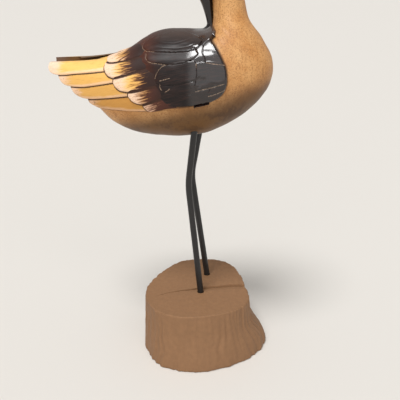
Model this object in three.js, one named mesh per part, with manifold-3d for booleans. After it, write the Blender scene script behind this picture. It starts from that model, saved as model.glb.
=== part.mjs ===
// A carved and painted wooden shorebird on two bent metal rods, standing in a slice of log.
// Millimetres, +Z up. The bird faces +X, its right side is towards -Y, and the origin is the middle of
// the log's underside.

import * as THREE from 'three';
import { mergeVertices } from 'three/addons/utils/BufferGeometryUtils.js';
import Module from 'manifold-3d';

const wasm = await Module();
wasm.setup();

// Driving dimensions

const birdMidY = 6; // the plane that halves the bird, just behind the log's middle
const clearance = 0.3; // gap that each rod keeps in its drilled holes

const rodRadius = 2.4;
const rodSpread = 15; // from the bird's mid plane to each rod, at the feet and at the belly
const kneeSpread = 12.5;
const kneeZ = 135;
const bendLength = 16; // of rod taken up by the bend at the knee
const bellyHoleTop = 185;
const logHoleBottom = 34;
const rodX = {
  right: { foot: 2.4, knee: -7.3, belly: -2.4 },
  left: { foot: 3.6, knee: -8.6, belly: -1.6 },
};
const rodTopZ = 175; // where the rods enter the belly

const logHeight = 46.5;
const logEdge = 1.2; // rounding of the worn lower rim

const saddleLift = 1.6; // how far the folded wings and mantle stand proud of the body
const saddleFade = 0.2; // share of that lift at the rear, where it runs out under the feathers
const saddleFadeLength = 0.25; // share of the saddle's length over which it fades
const skinDepth = 3; // how far carved layers reach below the body's surface
const slotHalf = 6.8; // half the width of the slot cut between the two wing tips
const primaryLift = [0.2, 1.4]; // how proud a primary stands along its upper and its lower edge
const scallopLift = [2.5, 0.9]; // how proud a scallop stands at its tip and at its root
const scallopDrop = 0.4; // how much lower its two long edges are than its middle
const scallopTilt = 0.5; // how much higher its lower edge is than its upper edge

// Stations of the body: the back's point and the belly's point in the mid plane as [x, z], the half
// width, and how square the section is above and below its middle. They fan out round the nape, rise up
// the neck and turn over with the head, so that neighbouring sections never cross.

const tailStations = [
  { back: [-94, 211.0], low: [-93.4, 208.2], half: 9.2, above: 2.8, below: 2.4 },
  { back: [-88, 218.6], low: [-87, 203.5], half: 11, above: 2.8, below: 2.3 },
  { back: [-82, 223.2], low: [-80.5, 196.8], half: 15, above: 2.8, below: 2.2 },
  { back: [-74, 224.8], low: [-72.5, 188.8], half: 20.5, above: 2.8, below: 2.2 },
];

const wingStations = [
  { back: [-114, 226.6], low: [-114, 203], half: 10, above: 2.9, below: 2.6 },
  { back: [-101, 225.9], low: [-101, 198], half: 13.4, above: 2.9, below: 2.5 },
  { back: [-88, 225.2], low: [-88, 191], half: 19, above: 2.9, below: 2.4 },
  { back: [-75, 226.2], low: [-75, 186], half: 23.5, above: 2.7, below: 2.3 },
];

const trunkStations = [
  { back: [-62, 228.2], low: [-62, 179.6], half: 27.2, above: 2.5, below: 2.2 },
  { back: [-50, 233.0], low: [-50, 173.8], half: 29.8, above: 2.35, below: 2.1 },
  { back: [-38, 239.6], low: [-38, 171.0], half: 31.4, above: 2.2, below: 2.05 },
  { back: [-26, 244.4], low: [-26, 170.2], half: 32.4, above: 2.15, below: 2.0 },
  { back: [-13, 245.3], low: [-12, 170.4], half: 32.8, above: 2.15, below: 2.0 },
  { back: [-2, 245.3], low: [5, 173.2], half: 32.6, above: 2.15, below: 2.0 },
  { back: [4, 245.8], low: [21, 180.7], half: 31.6, above: 2.1, below: 2.0 },
  { back: [7.2, 247.4], low: [34, 189.5], half: 29.6, above: 2.05, below: 2.0 },
  { back: [8.7, 250.0], low: [44.5, 200.4], half: 26.6, above: 2.0, below: 2.0 },
  { back: [9.2, 253.0], low: [50.6, 212.0], half: 23.4, above: 2.0, below: 2.0 },
  { back: [9.2, 256.2], low: [51.0, 226.0], half: 19.6, above: 2.0, below: 2.0 },
  { back: [9.0, 259.4], low: [43.6, 240.4], half: 16.0, above: 2.0, below: 2.0 },
  { back: [8.8, 263.0], low: [34.4, 252.6], half: 13.2, above: 2.0, below: 2.0 },
  { back: [8.6, 267.0], low: [30.9, 263.8], half: 11.9, above: 2.0, below: 2.0 },
];

const headStations = [
  { back: [8.3, 269.6], low: [29.9, 272.5], half: 11.9, above: 2.0, below: 2.0 },
  { back: [7.6, 271.5], low: [26.8, 281.0], half: 12.4, above: 2.0, below: 2.0 },
  { back: [6.7, 272.4], low: [21.4, 288.2], half: 13.2, above: 2.0, below: 2.0 },
  { back: [5.8, 272.7], low: [13.6, 292.8], half: 13.8, above: 2.0, below: 2.0 },
  { back: [4.9, 272.5], low: [4.6, 293.6], half: 13.6, above: 2.0, below: 2.0 },
  { back: [4.2, 271.9], low: [-3.6, 290.4], half: 12.4, above: 2.0, below: 2.0 },
  { back: [3.8, 271.1], low: [-8.6, 284.4], half: 10.4, above: 2.0, below: 2.0 },
  { back: [3.7, 270.2], low: [-8.6, 277.6], half: 8.2, above: 2.0, below: 2.0 },
  { back: [3.8, 269.3], low: [-5.2, 271.4], half: 6.0, above: 2.0, below: 2.0 },
];

// The bill lies down the nape and flares into the back where the carver left its tip.

const billStations = [
  { z: 278, x: 0.6, across: 6.0, deep: 4.6 },
  { z: 271, x: 2.2, across: 5.8, deep: 4.7 },
  { z: 265.6, x: 4.5, across: 4.8, deep: 4.2 },
  { z: 260.4, x: 5.8, across: 3.9, deep: 3.8 },
  { z: 254, x: 7.1, across: 3.2, deep: 3.4 },
  { z: 249.6, x: 7.7, across: 3.1, deep: 3.3 },
  { z: 247.4, x: 7.0, across: 4.2, deep: 4.0 },
  { z: 245.4, x: 6.0, across: 6.4, deep: 5.6 },
  { z: 241, x: 6.0, across: 5.4, deep: 5.0 },
];

const eyeRadius = 2.4;
const eyeSunk = 0.55; // share of the radius that lies inside the head
const eyeStation = 3.4; // counted back from the face
const eyeAngle = 1.75;

// Feathers of one wing in side view. Each has an upper and a lower edge as [x, z] from the tip to the
// root. A feather is laid over the next one in its list, and the scallops over the long primaries.

const primaries = [
  {
    upper: [[-108.6, 222.8], [-98.9, 223.3], [-83, 224.2], [-71.6, 225.5], [-63.5, 226.8], [-54, 229.6]],
    lower: [
      [-108.6, 219.2], [-108.2, 217.6], [-106.8, 215.8], [-103.5, 214.6], [-100.5, 214.4],
      [-85.9, 216.2], [-70, 218.1], [-54, 220.4],
    ],
  },
  {
    upper: [[-100.7, 215.5], [-85.9, 217.4], [-70, 219.3], [-46, 222.8]],
    lower: [
      [-100.7, 214.2], [-99.6, 211.4], [-97.3, 208.9], [-93.5, 207.6], [-89.8, 207.3],
      [-82.3, 207.6], [-70, 209.6], [-46, 214.4],
    ],
  },
  {
    upper: [[-90.4, 208.4], [-82.3, 208.8], [-70, 210.8], [-58.4, 213.5], [-38, 217]],
    lower: [
      [-90.4, 207.0], [-89.3, 205.0], [-87.2, 202.5], [-83.3, 200.6], [-77.5, 199.7],
      [-62.8, 201.3], [-38, 205.2],
    ],
  },
  {
    upper: [[-77, 200.8], [-62.8, 202.5], [-44.6, 205.3], [-28, 207.8]],
    lower: [
      [-77, 199.2], [-75.7, 196.9], [-71.9, 195.2], [-68.1, 193.9], [-59.9, 193.8],
      [-46, 193.6], [-28, 194.2],
    ],
  },
];

const scallops = [
  {
    upper: [[-63, 227], [-60, 228.4], [-55, 230.2], [-43.2, 236.2], [-34, 239.4]],
    lower: [[-63, 225.6], [-62.4, 224], [-60.6, 223.3], [-50, 225.4], [-34, 230.2]],
  },
  {
    upper: [[-63.5, 221.6], [-62.8, 223.2], [-61, 224.6], [-50, 226.8], [-32, 232]],
    lower: [
      [-63.5, 220], [-61.5, 217.2], [-59.2, 215.7], [-55.4, 214.9], [-50, 216.1],
      [-45.1, 217.7], [-32, 222],
    ],
  },
  {
    upper: [[-55.8, 213.6], [-55, 215.4], [-53, 216.8], [-45.1, 219.1], [-24, 225.2]],
    lower: [
      [-55.8, 211.8], [-53.9, 209.2], [-50.3, 207.2], [-45.2, 206.7], [-40, 207.4],
      [-35.1, 208.6], [-24, 211.8],
    ],
  },
  {
    upper: [[-45.1, 205.6], [-44.5, 207.2], [-43, 208.4], [-35.1, 210], [-15, 215.6]],
    lower: [
      [-45.1, 204], [-42.6, 201], [-39.1, 199.4], [-35.6, 198.9], [-30, 200.3],
      [-26.2, 201.8], [-15, 205],
    ],
  },
  {
    upper: [[-34.6, 198.6], [-33.4, 200.4], [-31, 201.6], [-12, 207]],
    lower: [[-34.6, 197.4], [-33, 195.6], [-31.1, 194.1], [-28, 194.2], [-19.7, 195.9], [-12, 196.9]],
  },
];

// Front edge of the wing in side view, from the lower edge up to the nape.

const wingFront = [
  [2, 199.2], [12, 201.8], [19.1, 206.6], [22.2, 213.8], [21.6, 223.0],
  [18.8, 229.4], [14.8, 235.4], [12.8, 240.4], [12.2, 245.0], [9.4, 249.0],
];
const wingRearLow = [-26, 197.6];
const wingRearTop = [-54, 231.4];
const leftTipShift = [-0.9, 1.3]; // the left wing's top feather is a little longer and higher

// Log outlines as [x, y]: the sawn top, and the underside with the flare of a root towards +X.

const logTop = [
  [-40, -20], [-39, 7], [-31, 27], [-21, 42], [-4, 48.5], [14, 47],
  [27, 34], [36, 9], [41, -17], [31, -34], [6, -47], [-22, -45],
];
const logFoot = [
  [-42, -18], [-42, 8], [-34, 30], [-21, 45], [-4, 51], [15, 49],
  [33, 38], [50, 18], [54.5, -7], [38, -33], [7, -50.5], [-25, -45.5],
];
const flareZ = 30; // where the root starts to swell out of the log
const flareStart = 0.12; // share of the way to the foot's outline reached at that height
const flarePower = 1.4;
const logLevels = [9, 18, 25, 33]; // heights of the rings between the rim and the top
const rimInset = 0.02; // share by which the worn rim draws in

// The drying crack across the sawn top as [x, y], its depth and its width at both ends.

const crackLine = [
  [-30, -19.6], [-19, -12.5], [-8.5, -7.4], [6, -1.6], [17.5, 2.4], [28.5, 5.6], [40, 6.4],
];
const crackDepth = 5;
const crackWidths = [0.5, 2.0];
const crackStart = 0.3; // share of the depth where it begins

// Sampling

const bodySides = 28;
const ringsPerStation = 2;
const saddleRows = 13; // on each side of the back
const saddleColumns = 18;
const billSides = 14;
const eyeSides = 10;
const logSides = 40;
const crackSteps = 10;
const rodSides = 5; // for each half turn
const rodSteps = 20;
const slopeStep = 0.4; // reach of the differences that give the skin's slope
const turnStep = 0.01; // the same in station share and radians

// Curves through the stations

const lerp = THREE.MathUtils.lerp;

function smoothTable(stations) {
  const curve = (pick) => new THREE.CatmullRomCurve3(stations.map(pick), false, 'catmullrom');
  return {
    count: stations.length,
    back: curve((s) => new THREE.Vector3(s.back[0], 0, s.back[1])),
    low: curve((s) => new THREE.Vector3(s.low[0], 0, s.low[1])),
    shape: curve((s) => new THREE.Vector3(s.half, s.above, s.below)),
  };
}

// A point on a section: angle 0 is the back, a half turn is the belly, and side is +1 or -1 in Y.
function sectionPoint(table, t, angle, side) {
  const back = table.back.getPoint(t);
  const low = table.low.getPoint(t);
  const shape = table.shape.getPoint(t);
  const upper = Math.cos(angle) > 0;
  const power = 2 / (upper ? shape.y : shape.z);
  const along = Math.abs(Math.cos(angle)) ** power * (upper ? -1 : 1);
  const across = Math.max(Math.sin(angle), 0) ** power;
  const point = back.lerp(low, (1 + along) / 2);
  point.y = birdMidY + side * shape.x * across;
  return point;
}

// The station and chord share of a side-view point, found by halving.
function locate(table, x, z) {
  let near = 0;
  let far = 1;
  let chord = 0;
  for (let i = 0; i < 40; i += 1) {
    const t = (near + far) / 2;
    const back = table.back.getPoint(t);
    const low = table.low.getPoint(t);
    const dx = low.x - back.x;
    const dz = low.z - back.z;
    if (dx * (z - back.z) - dz * (x - back.x) > 0) near = t;
    else far = t;
    chord = ((x - back.x) * dx + (z - back.z) * dz) / (dx * dx + dz * dz);
  }
  return { t: (near + far) / 2, chord };
}

function halfWidthAt(table, x, z) {
  const { t, chord } = locate(table, x, z);
  const shape = table.shape.getPoint(t);
  const u = THREE.MathUtils.clamp(2 * chord - 1, -1, 1);
  const power = u < 0 ? shape.y : shape.z;
  return shape.x * (1 - Math.abs(u) ** power) ** (1 / power);
}

// A point on the skin seen from the side, raised along the skin's own normal.
function onSkin(table, x, z, lift, side) {
  const d = slopeStep;
  const half = halfWidthAt(table, x, z);
  const slopeX = (halfWidthAt(table, x + d, z) - halfWidthAt(table, x - d, z)) / (2 * d);
  const slopeZ = (halfWidthAt(table, x, z + d) - halfWidthAt(table, x, z - d)) / (2 * d);
  const normal = new THREE.Vector3(-slopeX, 1, -slopeZ).normalize();
  return new THREE.Vector3(
    x + normal.x * lift,
    birdMidY + side * (half + normal.y * lift),
    z + normal.z * lift,
  );
}

// Closed bodies from points

function geometryOf(points, triangles) {
  const geometry = new THREE.BufferGeometry();
  const numbers = points.flatMap((p) => p.toArray());
  geometry.setAttribute('position', new THREE.Float32BufferAttribute(numbers, 3));
  geometry.setIndex(triangles.flat());
  return geometry;
}

// Rings of equal length joined in order, with each end closed by a fan round its middle.
function loft(rings) {
  const sides = rings[0].length;
  const points = rings.flat();
  const triangles = [];
  for (let r = 0; r < rings.length - 1; r += 1) {
    for (let k = 0; k < sides; k += 1) {
      const a = r * sides + k;
      const b = r * sides + ((k + 1) % sides);
      triangles.push([a, b, b + sides], [a, b + sides, a + sides]);
    }
  }
  const middle = (ring) => ring.reduce((sum, p) => sum.add(p), new THREE.Vector3()).divideScalar(sides);
  const last = (rings.length - 1) * sides;
  points.push(middle(rings[0]), middle(rings[rings.length - 1]));
  for (let k = 0; k < sides; k += 1) {
    const next = (k + 1) % sides;
    triangles.push([points.length - 2, next, k], [points.length - 1, last + k, last + next]);
  }
  return geometryOf(points, triangles);
}

// A bent slab between an outer and an inner grid of points, walled round its four edges.
function slab(outer, inner) {
  const rows = outer.length;
  const columns = outer[0].length;
  const points = [...outer.flat(), ...inner.flat()];
  const top = (r, c) => r * columns + c;
  const under = (r, c) => rows * columns + top(r, c);
  const triangles = [];
  const quad = (a, b, c, d) => triangles.push([a, b, c], [a, c, d]);
  for (let r = 0; r < rows - 1; r += 1) {
    for (let c = 0; c < columns - 1; c += 1) {
      quad(top(r, c), top(r, c + 1), top(r + 1, c + 1), top(r + 1, c));
      quad(under(r, c), under(r + 1, c), under(r + 1, c + 1), under(r, c + 1));
    }
    quad(top(r, 0), top(r + 1, 0), under(r + 1, 0), under(r, 0));
    quad(top(r + 1, columns - 1), top(r, columns - 1), under(r, columns - 1), under(r + 1, columns - 1));
  }
  for (let c = 0; c < columns - 1; c += 1) {
    quad(top(0, c + 1), top(0, c), under(0, c), under(0, c + 1));
    quad(top(rows - 1, c), top(rows - 1, c + 1), under(rows - 1, c + 1), under(rows - 1, c));
  }
  return geometryOf(points, triangles);
}

function toSolid(geometry) {
  const bare = geometry.clone();
  bare.deleteAttribute('normal');
  bare.deleteAttribute('uv');
  const welded = mergeVertices(bare, 1e-4);
  const solid = new wasm.Manifold(new wasm.Mesh({
    numProp: 3,
    vertProperties: Float32Array.from(welded.attributes.position.array),
    triVerts: Uint32Array.from(welded.index.array),
  }));
  return solid.volume() < 0 ? toSolid(flipped(welded)) : solid;
}

function flipped(geometry) {
  const turned = geometry.clone();
  const index = turned.index.array;
  for (let i = 0; i < index.length; i += 3) {
    [index[i], index[i + 1]] = [index[i + 1], index[i]];
  }
  return turned;
}

function toGeometry(solid) {
  const mesh = solid.getMesh();
  const geometry = new THREE.BufferGeometry();
  geometry.setAttribute('position', new THREE.Float32BufferAttribute(mesh.vertProperties, 3));
  geometry.setIndex(Array.from(mesh.triVerts));
  return geometry;
}

const joinAll = (solids) => solids.reduce((whole, next) => whole.add(next));
const steps = (count) => Array.from({ length: count + 1 }, (_, i) => i / count);

// Bird

function bodyCore(table) {
  const rings = steps((table.count - 1) * ringsPerStation).map((t) => {
    const ring = [];
    for (let k = 0; k < bodySides; k += 1) {
      const turn = (k / bodySides) * 2 * Math.PI;
      const side = turn < Math.PI ? 1 : -1;
      ring.push(sectionPoint(table, t, side > 0 ? turn : 2 * Math.PI - turn, side));
    }
    return ring;
  });
  return toSolid(loft(rings));
}

function bill() {
  const rings = billStations.map((s) => {
    const ring = [];
    for (let k = 0; k < billSides; k += 1) {
      const turn = (k / billSides) * 2 * Math.PI;
      const x = s.x + s.across * Math.cos(turn);
      ring.push(new THREE.Vector3(x, birdMidY + s.deep * Math.sin(turn), s.z));
    }
    return ring;
  });
  return toSolid(loft(rings));
}

// The mantle and both wings' coverts are one raised layer, laid over the back like a saddle.
function saddle(table) {
  const front = new THREE.CatmullRomCurve3(wingFront.map(([x, z]) => new THREE.Vector3(x, 0, z)));
  const rise = steps(saddleRows);
  const rows = [];
  for (const side of [-1, 1]) {
    for (const v of side < 0 ? rise : rise.slice(0, -1).reverse()) {
      const rearX = lerp(wingRearLow[0], wingRearTop[0], v);
      const rearZ = lerp(wingRearLow[1], wingRearTop[1], v);
      const start = locate(table, rearX, rearZ);
      const edge = front.getPoint(v);
      const end = locate(table, edge.x, edge.z);
      rows.push({ side, start, end, v });
    }
  }
  const grid = (liftAt) => rows.map((row) => steps(saddleColumns).map((u) => {
    const t = lerp(row.start.t, row.end.t, u);
    const chord = row.v === 1 ? 0 : Math.max(lerp(row.start.chord, row.end.chord, u), 0);
    return raised(table, t, chord, row.side, liftAt(u));
  }));
  const fade = (u) => lerp(saddleFade, 1, THREE.MathUtils.smoothstep(u, 0, saddleFadeLength));
  const outside = (u) => saddleLift * fade(u);
  return toSolid(slab(grid(outside), grid(() => -skinDepth)));
}

// Raises a point given by its station and chord share, which also works on top of the back.
function raised(table, t, chord, side, lift) {
  const angle = chordAngle(table, t, chord);
  const here = sectionPoint(table, t, angle, side);
  const along = sectionPoint(table, Math.min(t + turnStep / 4, 1), angle, side).sub(here);
  const before = sectionPoint(table, t, Math.max(angle - turnStep, 0), side);
  const around = sectionPoint(table, t, angle + turnStep, side).sub(before);
  const normal = along.cross(around).normalize().multiplyScalar(side);
  if (chord === 0) normal.y = 0;
  return here.addScaledVector(normal.normalize(), lift);
}

function chordAngle(table, t, chord) {
  const shape = table.shape.getPoint(t);
  const u = 2 * chord - 1;
  const power = u < 0 ? shape.y : shape.z;
  const cosine = Math.abs(u) ** (power / 2) * (u < 0 ? 1 : -1);
  return Math.acos(THREE.MathUtils.clamp(cosine, -1, 1));
}

// The height of an edge at x, by straight lines between its points.
function edgeAt(edge, x) {
  const next = edge.findIndex((point) => point[0] >= x);
  if (next <= 0) return edge[next === 0 ? 0 : edge.length - 1][1];
  const [fromX, fromZ] = edge[next - 1];
  const [toX, toZ] = edge[next];
  return lerp(fromZ, toZ, (x - fromX) / (toX - fromX));
}

// A feather as a slab. columns are shares of its width, counted from the upper edge.
function feather(outline, columns, shift, pointAt) {
  const { upper, lower } = outline;
  const tipX = lower[0][0];
  const length = lower[lower.length - 1][0] - tipX;
  const grid = (outside) => lower.map(([x, z]) => columns.map((v) => {
    const high = lerp(edgeAt(upper, x), z, v);
    return pointAt(x + shift[0], high + shift[1], v, (x - tipX) / length, outside);
  }));
  return toSolid(slab(grid(true), grid(false)));
}

// A primary: a long blade that stands proud along its lower edge and ends flat at the slot.
function primary(table, outline, side, shift) {
  return feather(outline, [0, 0.33, 0.67, 1], shift, (x, z, v, along, outside) => (
    outside ? onSkin(table, x, z, lerp(primaryLift[0], primaryLift[1], v), side)
      : new THREE.Vector3(x, birdMidY + side * slotHalf, z)
  ));
}

// A scallop: a short feather with a round end that stands proud at its tip.
function scallop(table, outline, side) {
  return feather(outline, [0, 0.2, 0.5, 0.8, 1], [0, 0], (x, z, v, along, outside) => {
    const middle = lerp(scallopLift[0], scallopLift[1], along);
    const lift = middle + scallopTilt * v - scallopDrop * (2 * v - 1) ** 2;
    return onSkin(table, x, z, outside ? lift : -skinDepth, side);
  });
}

function rodPath(side, x, end) {
  const y = (spread) => birdMidY + side * spread;
  const knee = new THREE.Vector3(x.knee, y(kneeSpread), kneeZ);
  const entry = new THREE.Vector3(x.belly, y(rodSpread), rodTopZ);
  const foot = new THREE.Vector3(x.foot, y(rodSpread), logHeight);
  const through = (from, to, z) => from.clone().lerp(to, (z - from.z) / (to.z - from.z));
  const top = through(knee, entry, bellyHoleTop + end);
  const bottom = through(knee, foot, logHoleBottom - end);
  const upward = top.clone().sub(knee).setLength(bendLength / 2).add(knee);
  const downward = bottom.clone().sub(knee).setLength(bendLength / 2).add(knee);
  return { top, upward, knee, downward, bottom };
}

function rod(side, x) {
  const { top, upward, knee, downward, bottom } = rodPath(side, x, -clearance);
  const path = new THREE.CurvePath();
  path.add(new THREE.LineCurve3(bottom, downward));
  path.add(new THREE.QuadraticBezierCurve3(downward, knee, upward));
  path.add(new THREE.LineCurve3(upward, top));
  const round = new THREE.Shape().absarc(0, 0, rodRadius, 0, 2 * Math.PI);
  const settings = { steps: rodSteps, extrudePath: path, curveSegments: rodSides };
  return toSolid(new THREE.ExtrudeGeometry(round, settings));
}

// A straight hole for a rod, from one point to another.
function hole(from, to) {
  const line = new THREE.LineCurve3(from, to);
  const round = new THREE.Shape().absarc(0, 0, rodRadius + clearance, 0, 2 * Math.PI);
  return toSolid(new THREE.ExtrudeGeometry(round, { steps: 1, extrudePath: line, curveSegments: rodSides }));
}

function drilled(solid, pick) {
  return ['right', 'left'].reduce((left, name) => {
    const path = rodPath(name === 'right' ? -1 : 1, rodX[name], 0);
    const [inner, outer] = pick(path);
    return left.subtract(hole(inner, outer));
  }, solid);
}

function eyes(core) {
  const t = (core.count - 1 - eyeStation) / (core.count - 1);
  return [-1, 1].map((side) => {
    const at = sectionPoint(core, t, eyeAngle, side);
    const ball = new THREE.SphereGeometry(eyeRadius, eyeSides, eyeSides - 2);
    return toSolid(ball.translate(at.x, at.y - side * eyeRadius * eyeSunk, at.z));
  });
}

function bird() {
  const table = smoothTable([...wingStations, ...trunkStations]);
  const core = smoothTable([...tailStations, ...trunkStations, ...headStations]);
  const shiftOf = (side, i) => (side > 0 && i === 0 ? leftTipShift : [0, 0]);
  const wings = [-1, 1].flatMap((side) => [
    ...primaries.map((outline, i) => primary(table, outline, side, shiftOf(side, i))),
    ...scallops.map((outline) => scallop(table, outline, side)),
  ]);
  const whole = joinAll([bodyCore(core), saddle(table), bill(), ...eyes(core), ...wings]);
  return drilled(whole, (path) => [path.top, path.upward]);
}

// Log

function logRing(share, inset) {
  const curve = (outline) => new THREE.CatmullRomCurve3(
    outline.map(([x, y]) => new THREE.Vector3(x, y, 0)), true,
  );
  const top = curve(logTop).getPoints(logSides).slice(0, -1);
  const foot = curve(logFoot).getPoints(logSides).slice(0, -1);
  return top.map((p, i) => p.lerp(foot[i], share).multiplyScalar(1 - inset));
}

function log() {
  const above = (z) => flareStart * ((logHeight - z) / (logHeight - flareZ));
  const below = (z) => lerp(flareStart, 1, Math.sin(((flareZ - z) / flareZ) * (Math.PI / 2)) ** flarePower);
  const rings = [0, logEdge, ...logLevels, logHeight].map((z) => {
    const outline = logRing(z > flareZ ? above(z) : below(z), z === 0 ? rimInset : 0);
    return outline.map((p) => new THREE.Vector3(p.x, p.y, z));
  });
  const crack = toSolid(crackWedge());
  const solid = toSolid(loft(rings)).subtract(crack);
  return drilled(solid, (path) => [path.bottom, path.downward]);
}

function crackWedge() {
  const line = new THREE.CatmullRomCurve3(crackLine.map(([x, y]) => new THREE.Vector3(x, y, 0)));
  const rings = steps(crackSteps).map((t) => {
    const p = line.getPoint(t);
    const ahead = line.getTangent(t);
    const across = new THREE.Vector3(-ahead.y, ahead.x, 0);
    const half = lerp(crackWidths[0], crackWidths[1], t) / 2;
    const depth = crackDepth * Math.min(crackStart + 2 * t, 1);
    const rise = 1; // above the sawn top, so that the cut is clean
    const wide = half * (1 + rise / depth);
    const point = (sideways, z) => p.clone().addScaledVector(across, sideways).setZ(z);
    return [
      point(-wide, logHeight + rise), point(wide, logHeight + rise), point(0, logHeight - depth),
    ];
  });
  return loft(rings);
}

// Scene

const finishes = {
  paintedWood: { color: 0x9a7448, roughness: 0.42, metalness: 0 },
  blackRod: { color: 0x141416, roughness: 0.45, metalness: 0.6 },
  logWood: { color: 0x8a5f38, roughness: 0.8, metalness: 0 },
};

function mesh(name, solid, finish) {
  const made = new THREE.Mesh(toGeometry(solid), new THREE.MeshStandardMaterial(finish));
  made.name = name;
  return made;
}

const shorebird = new THREE.Group();
shorebird.add(
  mesh('bird', bird(), finishes.paintedWood),
  mesh('right_leg', rod(-1, rodX.right), finishes.blackRod),
  mesh('left_leg', rod(1, rodX.left), finishes.blackRod),
  mesh('log_base', log(), finishes.logWood),
);

export default shorebird;
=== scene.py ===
from math import cos, pi, radians, sin

import bmesh
import bpy
import numpy as np
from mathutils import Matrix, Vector


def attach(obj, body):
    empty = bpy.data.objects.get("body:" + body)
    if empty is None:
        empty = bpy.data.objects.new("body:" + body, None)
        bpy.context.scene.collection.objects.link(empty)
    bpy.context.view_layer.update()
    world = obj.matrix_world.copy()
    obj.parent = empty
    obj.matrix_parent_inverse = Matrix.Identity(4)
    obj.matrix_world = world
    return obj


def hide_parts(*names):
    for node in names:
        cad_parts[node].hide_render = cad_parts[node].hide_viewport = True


# A carved and painted wooden shorebird on two bent rods in a slice of log.
# Settings are in millimetres, +X the way the breast faces, the bird's right side towards -Y.

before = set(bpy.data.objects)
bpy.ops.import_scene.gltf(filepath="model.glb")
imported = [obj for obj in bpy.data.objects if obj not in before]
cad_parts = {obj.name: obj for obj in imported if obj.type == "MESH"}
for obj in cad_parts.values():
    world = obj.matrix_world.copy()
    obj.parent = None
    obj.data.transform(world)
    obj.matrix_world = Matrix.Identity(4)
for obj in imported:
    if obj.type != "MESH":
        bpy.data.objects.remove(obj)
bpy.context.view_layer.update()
mm = 0.001
print("frame loaded")


# Camera

cameraSettings = {
    "place": (60.26, -423.79, 285.0),
    "pitch": 69.0,
    "turn": 8.0,
    "lens": 54.0,
}

cameraData = bpy.data.cameras.new("camera")
cameraData.lens = cameraSettings["lens"]
cameraData.sensor_width = 36.0
cameraData.clip_start = 0.01
camera = bpy.data.objects.new("camera", cameraData)
camera.location = [value * mm for value in cameraSettings["place"]]
camera.rotation_euler = (radians(cameraSettings["pitch"]), 0, radians(cameraSettings["turn"]))
bpy.context.collection.objects.link(camera)
bpy.context.scene.camera = camera


# Shader helpers

class Wire:
    # a shader socket that can stand in a Python sum
    def __init__(self, finish, socket):
        self.finish = finish
        self.socket = socket

    def math(self, operation, *others):
        settings = {"operation": operation}
        inputs = dict(enumerate([self, *others]))
        return self.finish.node("ShaderNodeMath", settings, inputs)

    def __add__(self, other):
        return self.math("ADD", other)

    def __sub__(self, other):
        return self.math("SUBTRACT", other)

    def __mul__(self, other):
        return self.math("MULTIPLY", other)

    def __truediv__(self, other):
        return self.math("DIVIDE", other)

    def __rsub__(self, other):
        return self.finish.node("ShaderNodeMath", {"operation": "SUBTRACT"}, {0: other, 1: self})

    __radd__ = __add__
    __rmul__ = __mul__


class Finish:
    # one material, built node by node
    def __init__(self, name):
        self.material = bpy.data.materials.new(name)
        self.material.use_nodes = True
        self.tree = self.material.node_tree
        self.tree.nodes.clear()

    def node(self, kind, settings=None, inputs=None, output=0):
        made = self.tree.nodes.new(kind)
        for name, value in (settings or {}).items():
            if name == "stops":
                self.setStops(made.color_ramp, value)
            else:
                setattr(made, name, value)
        for name, value in (inputs or {}).items():
            if isinstance(value, Wire):
                self.tree.links.new(value.socket, made.inputs[name])
            else:
                made.inputs[name].default_value = value
        return Wire(self, made.outputs[output]) if len(made.outputs) else None

    def setStops(self, ramp, stops):
        while len(ramp.elements) < len(stops):
            ramp.elements.new(0.5)
        for element, (place, colour) in zip(ramp.elements, stops):
            element.position = place
            element.color = colour

    def mark(self, name, axis=None):
        # a vector stored on the mesh, or one of its parts
        vector = self.node("ShaderNodeAttribute", {"attribute_name": name}, output="Vector")
        return vector if axis is None else self.part(vector, axis)

    def part(self, vector, axis):
        return self.node("ShaderNodeSeparateXYZ", None, {0: vector}, output=axis)

    def place(self):
        # millimetres in the row frame
        where = self.node("ShaderNodeTexCoord", output="Object")
        return self.scaled(where, (1000, 1000, 1000))

    def vector(self, x, y, z):
        return self.node("ShaderNodeCombineXYZ", None, {0: x, 1: y, 2: z})

    def scaled(self, vector, factors):
        return self.node("ShaderNodeVectorMath", {"operation": "MULTIPLY"}, {0: vector, 1: factors})

    def shifted(self, vector, other):
        return self.node("ShaderNodeVectorMath", {"operation": "ADD"}, {0: vector, 1: other})

    def noise(self, where, scale, detail=3.0, roughness=0.55, colour=False):
        inputs = {"Vector": where, "Scale": scale, "Detail": detail, "Roughness": roughness}
        return self.node("ShaderNodeTexNoise", None, inputs, output="Color" if colour else 0)

    def cells(self, where, scale, feature="F1", output="Distance"):
        inputs = {"Vector": where, "Scale": scale}
        return self.node("ShaderNodeTexVoronoi", {"feature": feature}, inputs, output=output)

    def step(self, value, low, high, start=0.0, end=1.0):
        # a soft step of value from low to high
        inputs = {"Value": value, "From Min": low, "From Max": high, "To Min": start, "To Max": end}
        return self.node("ShaderNodeMapRange", {"interpolation_type": "SMOOTHSTEP"}, inputs)

    def mix(self, factor, first, second, blend="MIX"):
        settings = {"data_type": "RGBA", "blend_type": blend}
        inputs = {0: factor, 6: first, 7: second}
        return self.node("ShaderNodeMix", settings, inputs, output=2)

    def bump(self, height, distance, strength=1.0, before=None):
        inputs = {"Strength": strength, "Distance": distance, "Height": height}
        if before is not None:
            inputs["Normal"] = before
        return self.node("ShaderNodeBump", None, inputs)

    def surface(self, inputs):
        shader = self.node("ShaderNodeBsdfPrincipled", None, inputs)
        self.node("ShaderNodeOutputMaterial", None, {"Surface": shader})
        return self.material


def tone(red, green, blue):
    # a colour as the eye reads it on a screen, 0 to 255, turned into light
    def light(value):
        value /= 255
        return value / 12.92 if value <= 0.04045 else ((value + 0.055) / 1.055) ** 2.4
    return (light(red), light(green), light(blue), 1.0)


# Curves and meshes

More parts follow.
